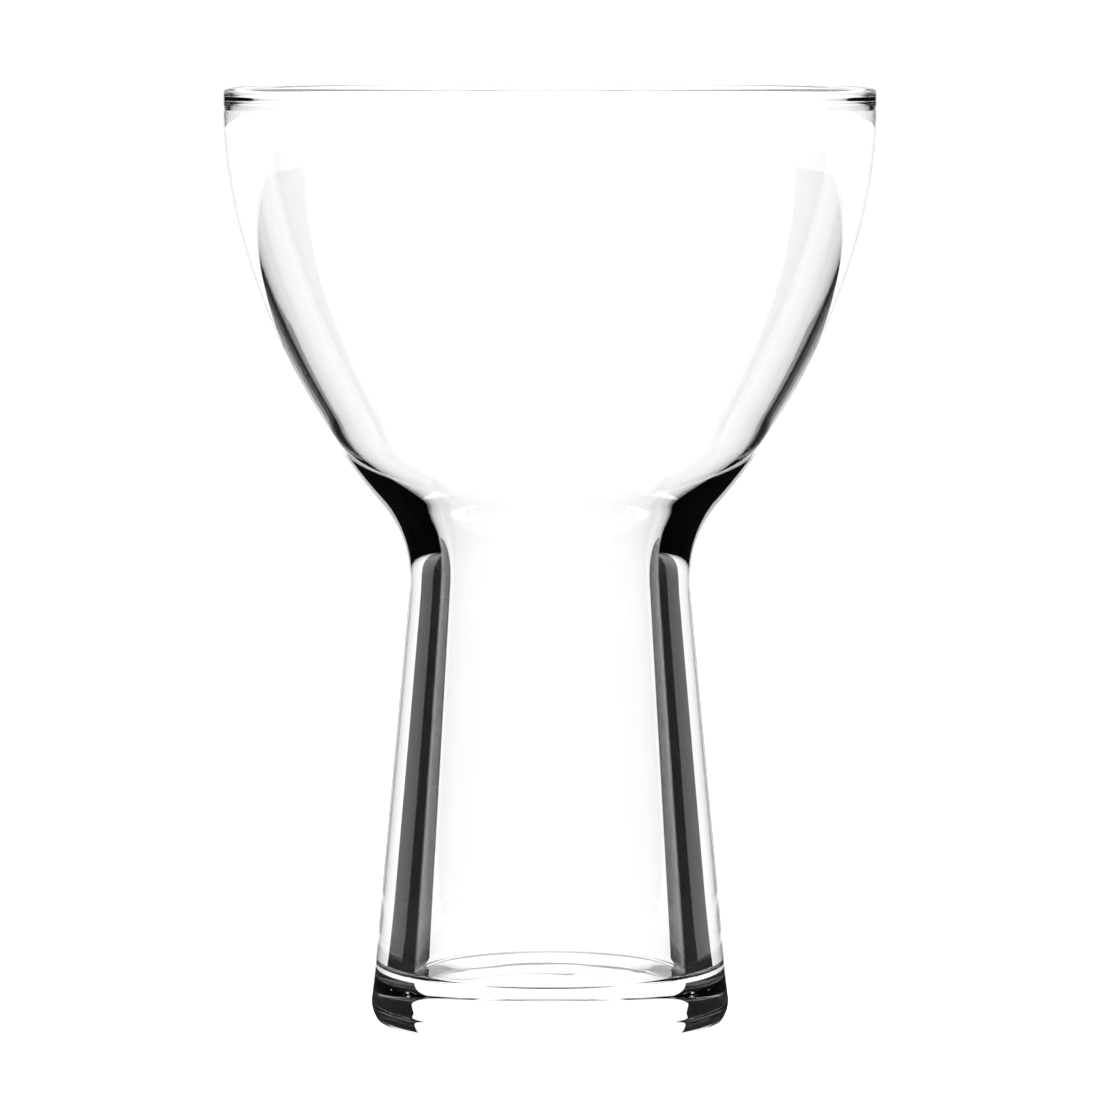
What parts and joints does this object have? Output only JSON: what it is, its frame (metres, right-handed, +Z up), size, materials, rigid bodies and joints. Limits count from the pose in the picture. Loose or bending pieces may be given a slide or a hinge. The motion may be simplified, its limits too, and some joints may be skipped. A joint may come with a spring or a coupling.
{
  "type": "footed pint glass",
  "caption": "Footed pint beer glass in clear glass: a thin round bowl on a thick hollow flared stem with a heavy solid base.",
  "frame": {"origin": "centre of the resting ring on the table, on the glass's axis", "axes": "+Z up along the axis of revolution; X and Y lie in the table, and the glass is the same all round"},
  "size_m": [0.1046, 0.1046, 0.15],
  "materials": {
    "clear_glass": "polished, fire-smooth clear soda-lime glass"
  },
  "bodies": {
    "root": {"bowl": "clear_glass", "stem": "clear_glass", "base": "clear_glass"}
  },
  "joints": []
}
